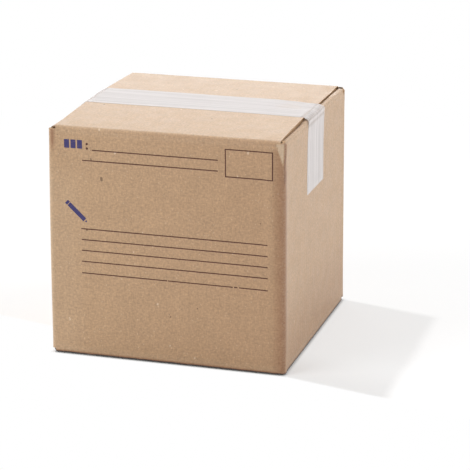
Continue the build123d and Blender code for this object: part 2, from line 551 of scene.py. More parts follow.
def upright(line, heights, depth):
    """Grid over a stretch of the plan and a row of heights, at a depth behind the outside."""
    points, directions, _ = line
    inward = np.stack([-directions[:, 1], directions[:, 0]], 1)
    x, y = (points + depth * inward).T
    return joined(x[:, None], y[:, None], heights)


def corner_cut(carton):
    """How much shorter the plan is for one rounded corner: (2 - pi / 2) times the radius."""
    return (2 - math.pi / 2) * carton.corner_radius


def fold_places(carton):
    """Distances along the plan at which the four upright folds have their middles."""
    shorter = corner_cut(carton)
    places = [carton.tab_width - shorter / 2]
    places.append(places[-1] + 2 * HALF_DEPTH - carton.board - shorter)
    places.append(places[-1] + 2 * HALF_WIDTH - shorter)
    places.append(places[-1] + 2 * HALF_DEPTH - shorter)
    return places


def flap_ends(carton, upper, outer):
    """Where a flap's left and right ends lie across its panel, from the panel's middle."""
    if not outer:
        return carton.slot_half - HALF_DEPTH, HALF_DEPTH - carton.slot_half
    half, shift = carton.slot_half, carton.slot_shift
    if not upper:
        half, shift = carton.low_slot_half, carton.low_slot_shift
    return half - HALF_WIDTH + shift, HALF_WIDTH - half + shift


# The upright folds, in the order of the plan
REAR_LEFT, FRONT_LEFT, FRONT_RIGHT, REAR_RIGHT = range(4)
# How much taller the right corners' stubs are, in millimetres: the front one's top, what it gains
# and from where to where past the corner; the front one's foot; and the rear one's top, its dip at
# the corner with the dip's reach, what it gains and where
FRONT_TOP, FRONT_TOP_GAIN, FRONT_TOP_PAST = 2.1, 1.2, (-1, 1)
FRONT_FOOT = 2.6
REAR_TOP, REAR_TOP_DIP, REAR_DIP_REACH = 1, 0.4, 1.5
REAR_TOP_GAIN, REAR_TOP_PAST = 1.4, (0, 2.5)


def stub_growth(fold, upper, beyond):
    """How much taller the stub at an upright fold is than the folds beside it need.

    The front right stub is taller, at the top more so beyond the corner. The top of the rear
    right one dips by a bell at the corner and stands up beyond it.
    """
    beyond = beyond / MM
    if fold == FRONT_RIGHT and upper:
        return MM * (FRONT_TOP + FRONT_TOP_GAIN * ease(beyond, *FRONT_TOP_PAST))
    if fold == FRONT_RIGHT:
        return np.full_like(beyond, FRONT_FOOT * MM)
    if fold == REAR_RIGHT and upper:
        dip = REAR_TOP_DIP * bell(beyond, REAR_DIP_REACH)
        return MM * (REAR_TOP - dip + REAR_TOP_GAIN * ease(beyond, *REAR_TOP_PAST))
    return np.zeros_like(beyond)


def walls(carton):
    """Shells of the four panels with the tab, and of the stubs between the slots."""
    low, high = levels_of(carton)[2:]
    line = plan_line(carton)
    folds = fold_places(carton)
    heights = low + (high - low) * crowded(WALL_CELLS)
    shells = [wall_stretch(carton, line, np.tile(heights, (len(line[0]), 1)), folds)]
    shorter = corner_cut(carton) / 2
    height = carton.fold_radius + carton.fold_lead
    t = np.linspace(0, 1, STUB_CELLS + 1)
    for number, fold in enumerate(folds):
        for upper in (False, True):
            left, right = flap_ends(carton, upper, True)
            before = after = carton.slot_half
            if number in (FRONT_LEFT, REAR_RIGHT):
                after = left + HALF_WIDTH
            if number == FRONT_RIGHT:
                before = HALF_WIDTH - right
            piece = stretch_of(line, fold - before + shorter, fold + after - shorter)
            tall = (height + stub_growth(number, upper, piece[2] - fold))[:, None]
            stub = high + tall * t if upper else low - tall * (1 - t)
            shells.append(wall_stretch(carton, piece, stub, folds))
    return shells


# How far from a fold's middle its paper is worn, and the same at a flap's two ends, where the
# wear is a share of the fold's
FOLD_WEAR = 2.5 * MM
END_WEAR, END_WEAR_SHARE = 1.2 * MM, 0.7


def wall_stretch(carton, line, heights, folds):
    """One shell of upright board over a stretch of the plan, worn near the upright folds."""
    distances = line[2]
    depths = [0, carton.liner, carton.board / 2, carton.board - carton.liner, carton.board]
    grids = [settle(carton, upright(line, heights, depth)) for depth in depths]
    flat = np.stack([np.broadcast_to(distances[:, None], heights.shape), heights], -1)
    nearest = np.abs(distances[:, None] - np.array(folds)[None]).min(1)
    wear = np.repeat(bell(nearest, FOLD_WEAR)[:, None], heights.shape[1], 1)
    return shell(grids, flat, wear, CUT)


def place(panel, across, inset, height, out):
    """Points of one panel's own frame turned to their place: panel 0 is the front, 1 the right."""
    turn = math.radians(90 * panel)
    x = math.sin(turn) * (out - inset) + math.cos(turn) * across
    y = -math.cos(turn) * (out - inset) + math.sin(turn) * across
    return joined(x, y, height)


# Cells of a flap's side view: up from the wall, over the crown and on to the free edge, and the
# steps of the fold's arc
OUTER_CELLS, OUTER_ARC = [3, 8, 20], 10
INNER_CELLS, INNER_ARC = [3, 12, 14], 18
# Cells along a top flap and along a bottom flap
TOP_CELLS, LOW_CELLS = 59, 39
# How the layers between the liners are set back: over how much of an end, from how far before
# the open flutes, and how much higher than the liners they start, so that no face has no area
END_RUN, FREE_RUN, START_RISE = 5 * MM, 2 * MM, 0.05 * MM
# How ragged a set-back edge is and how ragged its middle, as shares of its depth
EDGE_RAGGED, MIDDLE_RAGGED = 0.9, 0.8
# How high on the flat sheet the bottom flaps' patterns lie
LOW_FLAPS_PLACE = -0.5


def flap(carton, panel, upper, outer):
    """Shells of one flap: the board with its fold, and the fluted paper in its free edge.

    A point lies at a distance across, along the fold, and on the side view's line, moved behind
    it by its depth in the board. In the cut edges the layers between the liners are set back.
    """
    top, drop, low, high = levels_of(carton)
    out = HALF_DEPTH if outer else HALF_WIDTH
    reach = out - (carton.seam_gap if outer else carton.inner_seam_gap) / 2
    level = (top if upper else -BOTTOM) - (0 if outer else drop)
    start = high if upper else -low
    corners = [(0, start), (0, level), (carton.crown_width, level), (reach, level)]
    if outer:
        radius = carton.top_fold_radius if upper else carton.low_fold_radius
        profile = rounded_line(corners, [radius, 0], OUTER_CELLS, OUTER_ARC)
    else:
        profile = rounded_line(corners, [carton.fold_radius, 0], INNER_CELLS, INNER_ARC)
    points, directions, distances = profile
    left, right = flap_ends(carton, upper, outer)
    across = left + (right - left) * crowded(TOP_CELLS if upper else LOW_CELLS)
    seed = 10 * panel + 2 * upper + outer
    groove = carton.edge_recess
    recess = groove + ragged(len(points), EDGE_RAGGED * groove, seed)
    middle = recess + ragged(len(points), MIDDLE_RAGGED * groove, seed + 100)
    steps = [
        (0, None), (carton.liner, None), (carton.liner, recess), (carton.board / 2, middle),
        (carton.board - carton.liner, recess), (carton.board - carton.liner, None),
        (carton.board, None),
    ]
    layers = []
    for depth, set_back in steps:
        inset = points[:, 0] + depth * directions[:, 1]
        height = points[:, 1] - depth * directions[:, 0]
        spread = np.repeat(across[:, None], len(points), 1)
        if set_back is not None:
            spread, inset, height = recessed(carton, spread, inset, height, set_back, reach)
        if not outer:
            inset, height = crowned(carton, panel, upper, spread, inset, height, distances, depth)
        layers.append(lifted(carton, panel, upper, outer, spread, inset, height, out))
    flat = np.stack(np.meshgrid(across, distances, indexing="ij"), -1)
    flat += np.array([panel * 2 * HALF_WIDTH, high if upper else LOW_FLAPS_PLACE])
    fold = bell(distances - carton.fold_lead - 0.8 * carton.fold_radius, FOLD_WEAR)
    ends = bell(across - across[0], END_WEAR) + bell(across - across[-1], END_WEAR)
    wear = np.maximum(fold[None], END_WEAR_SHARE * ends[:, None])
    board = shell(layers, flat, wear, CUT)
    return [board, flute_paper(carton, panel, upper, outer, across, profile, out)]


def recessed(carton, spread, inset, height, set_back, reach):
    """A layer between the liners of a flap, set back from its two ends and its free edge.

    An end goes in by the set-back, which fades out along the end's run in proportion. At the free
    edge the run before the open flutes is squeezed, so that the layer stops where they begin.
    """
    near = reach - carton.flute_recess - FREE_RUN
    squeezed = near + (inset - near) * FREE_RUN / (FREE_RUN + carton.flute_recess)
    at_left = np.clip(1 - (spread - spread[0]) / END_RUN, 0, 1)
    at_right = np.clip(1 - (spread[-1] - spread) / END_RUN, 0, 1)
    raised = height + START_RISE * (np.arange(len(height)) == 0)
    return spread + set_back * (at_left - at_right), np.where(inset > near, squeezed, inset), raised


def lifted(carton, panel, upper, outer, across, inset, height, out):
    """A flap's grid in its place: outer top flaps rise and are skewed, bottom ones hang down."""
    inset = np.broadcast_to(inset, across.shape)
    height = np.broadcast_to(height, across.shape)
    if upper and outer:
        height = height + outer_lift(carton, across if panel == 0 else -across, inset, panel == 2)
        across = across - carton.flap_skew * inset / HALF_DEPTH
    grid = place(panel, across, inset, height if upper else -height, out)
    grid = settle(carton, grid)
    return grid if upper else grid[::-1]


# How high an inner flap's fold swells over the flap and how wide the swelling is, in millimetres.
# The plain fold has next to none.
CROWNS = {
    "left": (1.4, 5.4), "right front": (2.3, 3.6), "right rear": (2.7, 5.0), "low": (3.4, 1.8),
    "plain": (0.01, 5.0),
}
# Where the right panel's swelling passes from its front size to its rear one, and where it falls
# towards its rear end, in millimetres from the middle; and the share by which it falls
CROWN_PASSES = (-38, -27)
CROWN_FALLS = (60, 88)
CROWN_FALL = 0.2
# How deep in the board the swelling ends, as a share
CROWN_DEPTH = 0.9
# Side view of a swelling: the run of its slope back to the flap, the share of its width and of its
# height that its bends take, the most that the first bend takes, its cells and a bend's steps
CROWN_SLOPE, CROWN_ROUND, CROWN_BEND = 0.5 * MM, 0.45, 1.6 * MM
CROWN_CELLS, CROWN_ARC = [8, 8, 8, 8], 12


def crown_line(carton, crown, distances):
    """Side view of a swollen fold: up past the flap's level, over and down to it again.

    Heights are from the wall's end. The points are spread over the same number of stations as
    the plain fold's, in proportion.
    """
    level = carton.fold_radius + carton.fold_lead
    rise, width = (size * MM for size in CROWNS[crown])
    corners = [(0, 0), (0, level + rise), (width, level + rise), (width + CROWN_SLOPE, level)]
    corners.append((carton.crown_width, level))
    radii = [min(CROWN_ROUND * width, CROWN_BEND), CROWN_ROUND * rise, CROWN_ROUND * rise]
    points, _, along = rounded_line(corners, radii, CROWN_CELLS, CROWN_ARC)
    merge = distances[-1] - (HALF_WIDTH - carton.inner_seam_gap / 2 - carton.crown_width)
    part = np.clip(distances / merge, 0, 1) * along[-1]
    return np.stack([np.interp(part, along, column) for column in points.T], 1)


def crowned(carton, panel, upper, across, inset, height, distances, depth):
    """Inset and height of an inner flap whose outer paper is swollen at the fold.

    The swelling is what its side view adds to the plain fold's. It goes in proportion from all of
    it at the outer face to none deep in the board. On the right panel's top flap it passes from
    its front size to its rear one, and a top flap's falls a little towards its rear end.
    """
    front_crown = rear_crown = "left" if upper else "low"
    if upper and panel == 1:
        front_crown, rear_crown = "right front", "right rear"
    plain = crown_line(carton, "plain", distances)
    front = crown_line(carton, front_crown, distances) - plain
    rear = crown_line(carton, rear_crown, distances) - plain
    y = across if panel == 1 else -across
    moved = front + ramp(y, CROWN_PASSES)[..., None] * (rear - front)
    moved = moved * max(0, 1 - depth / (CROWN_DEPTH * carton.board))
    if upper:
        moved = moved * (1 - CROWN_FALL * ramp(y, CROWN_FALLS))[..., None]
    return inset + moved[..., 0], height + moved[..., 1]


# The fluted paper: stations in a flute, and its distances from a flap's ends and its free edge
FLUTE_STATIONS = 10
FLUTE_CLEAR, FLUTE_BACK = 1 * MM, 0.2 * MM


def flute_paper(carton, panel, upper, outer, across, profile, out):
    """The fluted paper between the liners at a free edge: depth follows a cosine of the across."""
    points = profile[0]
    count = round((across[-1] - across[0]) / carton.flute_pitch * FLUTE_STATIONS)
    x = np.linspace(across[0] + FLUTE_CLEAR, across[-1] - FLUTE_CLEAR, count)
    swing = carton.board / 2 - carton.liner - carton.flute_paper / 2
    wave = carton.board / 2 + swing * np.cos(2 * np.pi * x / carton.flute_pitch)
    ends = points[-1, 0] - np.array([carton.flute_recess, FLUTE_BACK])
    spread = np.repeat(x[:, None], 2, 1)
    inset = np.repeat(ends[None], len(x), 0)
    layers = []
    for side in (-0.5, 0.5):
        depth = (wave + side * carton.flute_paper)[:, None]
        height = np.repeat(points[-1, 1] - depth, 2, 1)
        layers.append(lifted(carton, panel, upper, outer, spread, inset, height, out))
    made = shell(layers, np.stack([spread, inset], -1), 0 * spread, CUT)
    made["slots"][:] = CUT
    return made


def fill(tree, made, inputs):
    """Sets a node's inputs to values, colours with their alpha, or links them to sockets."""
    for name, value in inputs.items():
        socket = made.inputs[name]
        if isinstance(value, bpy.types.NodeSocket):
            tree.links.new(value, socket)
        elif socket.type == "RGBA":
            socket.default_value = (*value[:3], 1.0)
        else:
            socket.default_value = value
    return made


def node(tree, kind, inputs=None, **settings):
    """Adds a node, with its settings, and its inputs filled with values or linked to sockets."""
    made = tree.nodes.new(kind)
    for name, value in settings.items():
        setattr(made, name, value)
    return fill(tree, made, inputs or {})


def calc(tree, operation, *values, clamp=False):
    """Output of a Math node."""
    inputs = dict(enumerate(values))
    return node(tree, "ShaderNodeMath", inputs, operation=operation, use_clamp=clamp).outputs[0]


def spread_to(tree, value, span, to=(0.0, 1.0)):
    """Value taken smoothly from one span to another."""
    inputs = {0: value, 1: span[0], 2: span[1], 3: to[0], 4: to[1]}
    made = node(tree, "ShaderNodeMapRange", inputs, interpolation_type="SMOOTHSTEP")
    return made.outputs[0]


def blend_of(tree, factor, first, second, kind="MIX"):
    """Colour that goes from the first to the second with the factor."""
    inputs = {0: factor, 6: first, 7: second}
    made = node(tree, "ShaderNodeMix", inputs, data_type="RGBA", blend_type=kind)
    return made.outputs[2]


def scaled(tree, vector, x, y, turn=0.0):
    """Vector turned about Z and stretched by x and y."""
    inputs = {"Vector": vector, "Rotation": (0, 0, turn), "Scale": (x, y, 1)}
    return node(tree, "ShaderNodeMapping", inputs).outputs[0]


def noise(tree, vector, scale, detail, roughness=0.5):
    """Noise from 0 to 1."""
    inputs = {"Vector": vector, "Scale": scale, "Detail": detail, "Roughness": roughness}
    return node(tree, "ShaderNodeTexNoise", inputs, noise_dimensions="3D").outputs[0]


def attribute_of(tree, name):
    """Value that the mesh holds at each point."""
    return node(tree, "ShaderNodeAttribute", attribute_name=name).outputs["Fac"]


def group(name, inputs, outputs):
    """A new shader node group with named sockets: its tree, its inputs and its output node."""
    tree = bpy.data.node_groups.new(name, "ShaderNodeTree")
    for label, kind, default in inputs:
        socket = tree.interface.new_socket(label, in_out="INPUT", socket_type=f"NodeSocket{kind}")
        if default is not None:
            socket.default_value = default
    for label in outputs:
        tree.interface.new_socket(label, in_out="OUTPUT", socket_type="NodeSocketFloat")
    return tree, tree.nodes.new("NodeGroupInput").outputs, tree.nodes.new("NodeGroupOutput")


def paper_group():
    """Paper: clouds of tone, felt grain and stray fibres, as a tone around 1 and a height in mm."""
    tree, given, result = group(
        "Paper grain",
        [("Vector", "Vector", None), ("Clouds", "Float", 0.06), ("Grain", "Float", 0.08)],
        ["Tone", "Height"],
    )
    clouds = noise(tree, given["Vector"], scale=55, detail=3)
    felt = noise(tree, given["Vector"], scale=560, detail=3, roughness=0.6)
    across = noise(tree, scaled(tree, given["Vector"], 260, 1500, 0.3), scale=1, detail=2)
    along = noise(tree, scaled(tree, given["Vector"], 1400, 240, -0.2), scale=1, detail=2)
    fibres = calc(tree, "MULTIPLY", across, along)
    tone = calc(tree, "MULTIPLY_ADD", calc(tree, "SUBTRACT", clouds, 0.5), given["Clouds"], 1.0)
    mixed = calc(tree, "ADD", calc(tree, "SUBTRACT", felt, 0.5), calc(tree, "SUBTRACT", fibres, 0.25))
    tone = calc(tree, "MULTIPLY_ADD", mixed, given["Grain"], tone)
    height = calc(tree, "MULTIPLY_ADD", felt, 0.05, calc(tree, "MULTIPLY", fibres, 0.06))
    fill(tree, result, {"Tone": tone, "Height": height})
    return tree


def fleck_group():
    """Flecks: small spots in some cells of a Voronoi pattern, drawn out along a slant.

    A cell is picked where a random value is under the share. A spot ends at its size from the
    cell's point, with a noise added to the distance, and is full at under half of that size.
    """
    tree, given, result = group(
        "Flecks",
        [("Vector", "Vector", None), ("Per metre", "Float", 200.0), ("Share", "Float", 0.1),
         ("Size", "Float", 0.2)],
        ["Mask"],
    )
    slanted = scaled(tree, given["Vector"], 1.0, 0.7, 0.6)
    bent = node(tree, "ShaderNodeVectorMath", {0: slanted, 3: given["Per metre"]}, operation="SCALE")
    shake = noise(tree, bent.outputs[0], scale=2.5, detail=2)
    cells = node(
        tree, "ShaderNodeTexVoronoi", {"Vector": bent.outputs[0], "Scale": 1.0},
        voronoi_dimensions="2D",
    )
    picked = node(tree, "ShaderNodeSeparateColor", {0: cells.outputs["Color"]}).outputs[0]
    chosen = calc(tree, "LESS_THAN", picked, given["Share"])
    wobble = calc(tree, "SUBTRACT", shake, 0.5)
    away = calc(tree, "MULTIPLY_ADD", wobble, 0.35, cells.outputs["Distance"])
    full = calc(tree, "MULTIPLY", given["Size"], 0.45)
    near = spread_to(tree, away, (full, given["Size"]), (1.0, 0.0))
    fill(tree, result, {"Mask": calc(tree, "MULTIPLY", near, chosen)})
    return tree


def rib_group():
    """Washboarding: the flutes seen through the liner, a sine of the across that a noise fades."""
    tree, given, result = group(
        "Flute ribs",
        [("Vector", "Vector", None), ("Pitch", "Float", 6.5 * MM)],
        ["Rib"],
    )
    across = node(tree, "ShaderNodeSeparateXYZ", {0: given["Vector"]}).outputs[0]
    turns = calc(tree, "DIVIDE", across, given["Pitch"])
    wave = calc(tree, "SINE", calc(tree, "MULTIPLY", turns, 2 * math.pi))
    fade = noise(tree, given["Vector"], scale=18, detail=2)
    fill(tree, result, {"Rib": calc(tree, "MULTIPLY", wave, fade)})
    return tree


def placed(tree, grouped, inputs):
    """A node group placed in a material, with its values."""
    return node(tree, "ShaderNodeGroup", inputs, node_tree=grouped).outputs


def new_material(name):
    """Material with an empty tree: the tree, its Principled BSDF and the flat place on the blank."""
    material = bpy.data.materials.new(name)
    material.use_nodes = True
    tree = material.node_tree
    shader = tree.nodes["Principled BSDF"]
    flat = node(tree, "ShaderNodeUVMap", uv_map="Flat").outputs[0]
    return material, tree, shader, flat


def bump(tree, height, strength=1.0):
    """Normal from a height in millimetres."""
    inputs = {"Height": height, "Distance": MM, "Strength": strength}
    return node(tree, "ShaderNodeBump", inputs).outputs[0]


def tinted(tree, colour, tone):
    """Colour made lighter or darker by a tone around 1."""
    made = node(tree, "ShaderNodeCombineColor", {0: tone, 1: tone, 2: tone})
    return blend_of(tree, 1.0, colour, made.outputs[0], "MULTIPLY")


# Flecks and specks in the liner: how many cells to a metre, the share of them with a spot, the
# spot's size in its cell, and how much of the paper it covers
FINE_FLECKS = (420.0, 0.07, 0.20, 0.35)
BROAD_FLECKS = (95.0, 0.10, 0.055, 0.6)
DARK_SPECKS = (70.0, 0.12, 0.034, 0.7)


def flecks_of(tree, flat, groups, kind):
    """How much of the paper the flecks of one kind cover."""
    per_metre, share, size, cover = kind
    inputs = {"Vector": flat, "Per metre": per_metre, "Share": share, "Size": size}
    return calc(tree, "MULTIPLY", placed(tree, groups["fleck"], inputs)["Mask"], cover)


def liner_colour(tree, flat, carton, groups):
    """Colour and height of the brown liner, with its flecks, specks, ribs and its painted light and
    shade.
    """
    grain = placed(tree, groups["paper"], {"Vector": flat, "Clouds": 0.2, "Grain": 0.85})
    rib = placed(tree, groups["rib"], {"Vector": flat, "Pitch": carton.flute_pitch})["Rib"]
    colour = tinted(tree, carton.paper, calc(tree, "MULTIPLY_ADD", rib, 0.025, grain["Tone"]))
    fine = flecks_of(tree, flat, groups, FINE_FLECKS)
    broad = flecks_of(tree, flat, groups, BROAD_FLECKS)
    colour = blend_of(tree, calc(tree, "MAXIMUM", fine, broad), colour, carton.pale_fibre_and_highlight)
    specks = flecks_of(tree, flat, groups, DARK_SPECKS)
    colour = blend_of(tree, specks, colour, carton.dark_speck)
    patches = spread_to(tree, noise(tree, flat, scale=120, detail=3), (0.2, 0.8), (0.8, 1.0))
    # Painted light and shade from the mesh, broken up in patches: the negative part paints highlight
    # and sheen in the pale colour, the positive part paints shade
    painted_marks = calc(tree, "MULTIPLY", attribute_of(tree, "painted_shading"), patches)
    painted_highlight = calc(tree, "MULTIPLY", painted_marks, -1.0, clamp=True)
    colour = blend_of(tree, painted_highlight, colour, carton.pale_fibre_and_highlight)
    painted_shading = calc(tree, "MULTIPLY", painted_marks, 1.0, clamp=True)
    colour = blend_of(tree, painted_shading, colour, carton.painted_shade_colour)
    # Painted shadow, near black, where the painted shade is thick: contact shadow and slot shadow
    colour = blend_of(tree, spread_to(tree, painted_shading, (0.55, 0.95)), colour, carton.painted_shadow_colour)
    return colour, calc(tree, "MULTIPLY_ADD", rib, 0.03, grain["Height"])


def liner_material(carton, groups):
    """Brown liner, scuffed paler where the fold wear and a noise say so."""
    material, tree, shader, flat = new_material("Brown liner")
    colour, height = liner_colour(tree, flat, carton, groups)
    patchy = spread_to(tree, noise(tree, flat, scale=700, detail=4, roughness=0.65), (0.35, 0.75))
    worn = calc(tree, "MULTIPLY", attribute_of(tree, "fold_wear"), patchy)
    scuffed = calc(tree, "MULTIPLY", worn, 0.2)
    sheen = noise(tree, flat, scale=90, detail=3)
    fill(tree, shader, {
        "Base Color": blend_of(tree, scuffed, colour, carton.pale_fibre_and_highlight),
        "Roughness": spread_to(tree, sheen, (0.3, 0.7), (0.50, 0.62)),
        "Normal": bump(tree, height),
        "Sheen Weight": 0.25,
        "Sheen Roughness": 0.45,
    })
    return material


def cut_material(carton, groups):
    """Cut edges and flutes: darker, rough paper, and near-black painted shadow where the painted
    shading is thick.
    """
    material, tree, shader, _ = new_material("Cut board")
    where = node(tree, "ShaderNodeTexCoord").outputs["Object"]
    grain = placed(tree, groups["paper"], {"Vector": where, "Clouds": 0.3, "Grain": 0.9})
    colour = tinted(tree, carton.cut_paper, grain["Tone"])
    # Painted shadow: contact shadow at the floor and shadow in the rear right slot
    painted_shadow = spread_to(tree, attribute_of(tree, "painted_shading"), (0.5, 0.9))
    fill(tree, shader, {
        "Base Color": blend_of(tree, painted_shadow, colour, carton.painted_shadow_colour),
        "Roughness": 0.85,
        "Normal": bump(tree, grain["Height"]),
    })
    return material


def ink_material(name, ink, carton, groups):
    """Ink on the liner: the liner's own colour under ink that is thin where the paper is rough."""
    material, tree, shader, flat = new_material(name)
    colour, height = liner_colour(tree, flat, carton, groups)
    rough = noise(tree, flat, scale=900, detail=3, roughness=0.6)
    cover = spread_to(tree, rough, (0.30, 0.46), (0.8, 1.0))
    fill(tree, shader, {
        "Base Color": blend_of(tree, cover, colour, ink),
        "Roughness": 0.5,
        "Normal": bump(tree, height, 0.6),
    })
    return material


# Painted light on the film's legs and painted shade on its top: its tone on the side panels and on the
# top, and how far past the bend it changes
LEG_PAINTED_LIGHT, TOP_PAINTED_SHADE = 1.03, 0.97
TONE_RUN = 6 * MM


def film_material(carton, tape):
    """Milky film: streaks along the tape in cover, colour and height, crinkles at the bends, painted
    lighter on the legs and darker on the top.
    """
    material, tree, shader, flat = new_material("Film tape")
    streaks = noise(tree, scaled(tree, flat, 5, 620), scale=1, detail=4, roughness=0.6)
    bands = noise(tree, scaled(tree, flat, 2, 120), scale=1, detail=2)
    crinkle = noise(tree, scaled(tree, flat, 300, 120, 0.5), scale=1, detail=3)
    tone = calc(tree, "ADD", calc(tree, "MULTIPLY", streaks, 0.25), calc(tree, "MULTIPLY", bands, 0.1))
    tone = calc(tree, "ADD", tone, 0.825)
    along = node(tree, "ShaderNodeSeparateXYZ", {0: flat}).outputs[0]
    leg = levels_of(carton)[0] - tape_low.z
    back = calc(tree, "SUBTRACT", 2 * (leg + HALF_WIDTH), along)
    past_bends = [spread_to(tree, run, (leg, leg + TONE_RUN)) for run in (along, back)]
    on_top = calc(tree, "MULTIPLY", *past_bends)
    # Painted light on the legs, painted shade on the top
    tone = calc(tree, "MULTIPLY", tone, spread_to(tree, on_top, (0.0, 1.0), (LEG_PAINTED_LIGHT, TOP_PAINTED_SHADE)))
    wear = attribute_of(tree, "fold_wear")
    cover = calc(tree, "MULTIPLY_ADD", calc(tree, "SUBTRACT", streaks, 0.5), 0.5, tape.cover)
    height = calc(tree, "MULTIPLY_ADD", streaks, 0.05, calc(tree, "MULTIPLY", bands, 0.08))
    folds = calc(tree, "MULTIPLY", calc(tree, "MULTIPLY", crinkle, wear), 0.25)
    fill(tree, shader, {
        "Base Color": tinted(tree, tape.milk, tone),
        "Alpha": calc(tree, "MULTIPLY_ADD", wear, -0.25, cover, clamp=True),
        "Normal": bump(tree, calc(tree, "ADD", height, folds)),
        "Roughness": spread_to(tree, bands, (0.3, 0.7), (0.42, 0.52)),
        "Specular IOR Level": 0.12,
    })
    return material


def groups_of():
    """The shared node groups, made once."""
    wanted = {"paper": ("Paper grain", paper_group), "fleck": ("Flecks", fleck_group),
              "rib": ("Flute ribs", rib_group)}
    return {key: bpy.data.node_groups.get(name) or make() for key, (name, make) in wanted.items()}


def ink_strip(carton, ink, points, width, count):
    """Thin shell of ink on the front panel, of constant width along a straight centre line."""
    start, end = points
    run = end - start
    side = np.array([-run[1], run[0]]) / np.linalg.norm(run) * width / 2
    rows = start + np.linspace(0, 1, count)[:, None] * run
    return ink_sheet(carton, ink, np.stack([rows - side, rows + side], 1))


def ink_sheet(carton, ink, grid):
    """Thin shell of ink over a grid of (x, z) places on the front panel."""
    face = settle(carton, joined(grid[..., 0], -HALF_DEPTH, grid[..., 1]))
    layers = [face - np.array([0, lift, 0]) for lift in (ink.proud, -2 * ink.proud)]
    flat = grid + np.array([fold_places(carton)[1] + HALF_WIDTH, 0])
    return shell(layers, flat, np.zeros(grid.shape[:2]), LINER)


def block(low, high):
    """Grid of (x, z) over an upright rectangle, cells of about 1 mm."""
    x, z = (
        np.linspace(start, end, max(2, round((end - start) / MM) + 1))
        for start, end in zip(low, high)
    )
    return np.stack(np.meshgrid(x, z, indexing="ij"), -1)


def dot(centre, radius):
    """Grid of (x, z) over a round dot: a square whose points are drawn in to the circle.

    With u and v from -1 to 1, x is u times the root of 1 - v^2 / 2, and z the same turned round.
    """
    side = np.linspace(-1, 1, DOT_ROWS)
    u, v = np.meshgrid(side, side, indexing="ij")
    x = u * np.sqrt(1 - v * v / 2)
    z = v * np.sqrt(1 - u * u / 2)
    return centre + radius * np.stack([x, z], -1)


# Print on the front panel, in millimetres from the panel's middle and from the floor
SENDER_LINES = [((-59.0, 166.6), (42.2, 166.4)), ((-67.3, 158.1), (42.2, 158.0))]
STAMP_FRAME = ((48.2, 154.1), (85.4, 175.4))
ADDRESS_LEFT, ADDRESS_RIGHT = -68.8, 81.4
ADDRESS_HEIGHTS = [(103.5, 103.2), (94.7, 94.4), (86.0, 85.7), (77.1, 76.9), (67.7, 67.3)]
BROKEN_LINE_GAPS = [(0.9, 1.5), (53.5, 54.5), (57.3, 58.5)]
START_TICK = ((-64.3, 103.6), (-64.3, 102.1))
DOTS, DOT_RADIUS = [(-63.1, 171.2), (-63.1, 167.7)], 0.95
BLOCK_LEFT, BLOCK_WIDTH, BLOCK_PITCH, BLOCK_COUNT = -81.7, 4.1, 5.3, 3
BLOCK_LOW, BLOCK_HIGH = 167.2, 174.0
PENCIL_TAIL, PENCIL_SHOULDER, PENCIL_TIP = (-80.7, 124.5), (-65.9, 110.7), (-64.3, 109.1)
PENCIL_WIDTH, PENCIL_CAP, PENCIL_BAND = 3.5, 2.2, 0.45
# The pencil's lead: where it starts between shoulder and tip, and how wide it is there and at
# the tip, as shares
LEAD_START, LEAD_WIDTH, TIP_WIDTH = 0.45, 0.6, 0.15
# Rows of points along the pencil's cap and its body, and across a dot
PENCIL_ROWS, DOT_ROWS = 12, 9


def ruled_shells(carton, ink):
    """Lines for the sender and the address, the frame for the stamp and two dots."""
    runs = list(SENDER_LINES)
    for number, (left_height, right_height) in enumerate(ADDRESS_HEIGHTS):
        gaps = BROKEN_LINE_GAPS if number == len(ADDRESS_HEIGHTS) - 1 else []
        stops = [ADDRESS_LEFT] + [stop for gap in gaps for stop in gap] + [ADDRESS_RIGHT]
        heights = np.interp(stops, (ADDRESS_LEFT, ADDRESS_RIGHT), (left_height, right_height))
        places = list(zip(stops, heights))
        runs += zip(places[::2], places[1::2])
    (left, low), (right, high) = STAMP_FRAME
    reach = ink.line_width / MM / 2
    runs += [((left - reach, level), (right + reach, level)) for level in (low, high)]
    runs += [((x, low + reach), (x, high - reach)) for x in (left, right)]
    runs.append(START_TICK)
    shells = []
    for start, end in np.array(runs) * MM:
        count = max(2, round(np.linalg.norm(end - start) / MM) + 1)
        shells.append(ink_strip(carton, ink, (start, end), ink.line_width, count))
    for centre in np.array(DOTS) * MM:
        shells.append(ink_sheet(carton, ink, dot(centre, DOT_RADIUS * MM)))
    return shells


def figure_shells(carton, ink):
    """Three plain blocks and a pencil: its cap, its body after a narrow gap, and its lead."""
    shells = []
    for number in range(BLOCK_COUNT):
        left = BLOCK_LEFT + number * BLOCK_PITCH
        low, high = np.array([(left, BLOCK_LOW), (left + BLOCK_WIDTH, BLOCK_HIGH)]) * MM
        shells.append(ink_sheet(carton, ink, block(low, high)))
    tail, shoulder, tip = np.array([PENCIL_TAIL, PENCIL_SHOULDER, PENCIL_TIP]) * MM
    width = PENCIL_WIDTH * MM
    run = (shoulder - tail) / np.linalg.norm(shoulder - tail)
    side = np.array([-run[1], run[0]]) * width / 2
    cap = tail + PENCIL_CAP * MM * run
    body = cap + PENCIL_BAND * MM * run
    for start, end in ((tail, cap), (body, shoulder)):
        shells.append(ink_strip(carton, ink, (start, end), width, PENCIL_ROWS))
    lead = shoulder + LEAD_START * (tip - shoulder)
    ends = ((lead, LEAD_WIDTH), (tip, TIP_WIDTH))
    corners = [[middle - side * share, middle + side * share] for middle, share in ends]
    shells.append(ink_sheet(carton, ink, np.array(corners)))
    return shells


